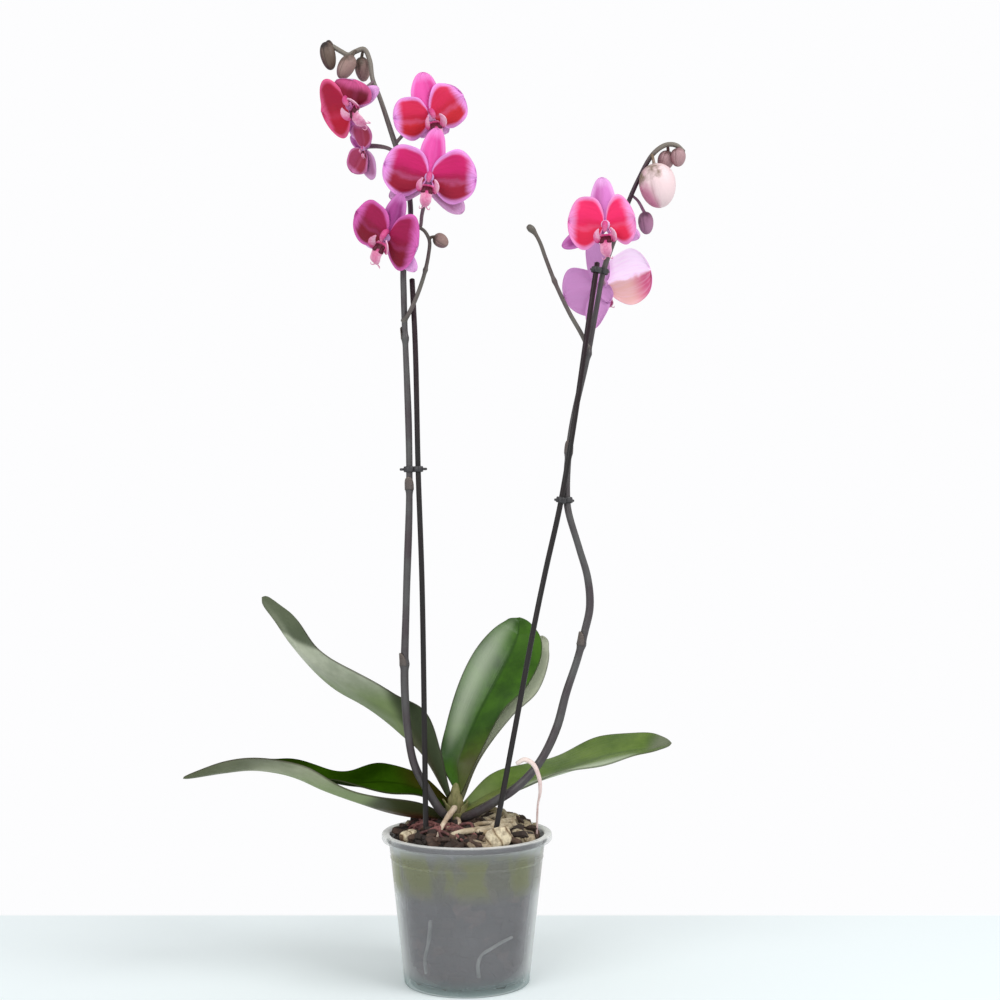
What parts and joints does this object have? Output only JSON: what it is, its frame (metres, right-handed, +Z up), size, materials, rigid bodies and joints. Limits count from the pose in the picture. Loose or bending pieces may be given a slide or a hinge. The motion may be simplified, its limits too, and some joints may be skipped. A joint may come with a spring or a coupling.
{
  "type": "potted orchid",
  "caption": "Moth orchid in a clear nursery pot of bark mix, with arching flower spikes clipped to stakes, open flowers, buds and long leaves. Stands on its pot base.",
  "frame": {"origin": "on the table, at the middle of the pot's base, which is the middle of its standing face", "axes": "+Z up the plant; -Y is the front the picture shows; +X to the right of that view"},
  "size_m": [0.3511, 0.1503, 0.6595],
  "materials": {
    "clear_plastic": "clear, slightly grey, glossy, scuffed by handling",
    "bark_mix": "rough damp bark, dark gaps, some green algae",
    "bark_chip": "dry pale bark, matte, fibrous",
    "crown": "dull green with papery brown sheaths",
    "root": "matte pale pinkish grey",
    "leaf": "waxy, dark green above and greyish green below",
    "stem": "dark grey-green with purple tints, satin",
    "stake": "near black, satin",
    "clip": "dark grey moulded plastic, satin",
    "petal": "deep crimson-magenta with lilac-pink margins, velvety",
    "sepal": "lilac pink, paler towards the edge, velvety",
    "lip": "pale pink with dark maroon markings, waxy",
    "bud": "dusty pink to olive brown, satin"
  },
  "bodies": {
    "root": {"clear_pot": "clear_plastic", "growing_mix": "bark_mix", "bark_chip_front": "bark_chip", "bark_chip_right": "bark_chip", "bark_chip_left": "bark_chip", "plant_crown": "crown", "root_loop": "root", "root_front": "root", "root_second": "root", "leaf_lowest_left": "leaf", "leaf_low_left": "leaf", "leaf_rising_left": "leaf", "leaf_upright_front": "leaf", "leaf_upright_back": "leaf", "leaf_right": "leaf", "flower_spike_left": "stem", "side_branch_left": "stem", "stake_left": "stake", "flower_spike_right": "stem", "side_branch_right": "stem", "stake_right": "stake", "clip_left": "clip", "clip_right_lower": "clip", "clip_right_upper": "clip", "left_flower_1_sepals": "sepal", "left_flower_1_petals": "petal", "left_flower_1_lip": "lip", "left_flower_1_stalk": "stem", "left_flower_2_sepals": "sepal", "left_flower_2_petals": "petal", "left_flower_2_lip": "lip", "left_flower_2_stalk": "stem", "left_flower_3_sepals": "sepal", "left_flower_3_petals": "petal", "left_flower_3_lip": "lip", "left_flower_3_stalk": "stem", "left_flower_4_sepals": "sepal", "left_flower_4_petals": "petal", "left_flower_4_lip": "lip", "left_flower_4_stalk": "stem", "left_flower_5_sepals": "sepal", "left_flower_5_petals": "petal", "left_flower_5_lip": "lip", "left_flower_5_stalk": "stem", "right_flower_1_sepals": "sepal", "right_flower_1_petals": "petal", "right_flower_1_lip": "lip", "right_flower_1_stalk": "stem", "right_flower_2_sepals": "sepal", "right_flower_2_petals": "petal", "right_flower_2_lip": "lip", "right_flower_2_stalk": "stem", "left_bud_tip": "bud", "left_bud_second": "bud", "left_bud_third": "bud", "left_bud_branch": "bud", "right_bud_large": "bud", "right_bud_second": "bud", "right_bud_tip": "bud", "right_bud_middle": "bud"}
  },
  "joints": []
}
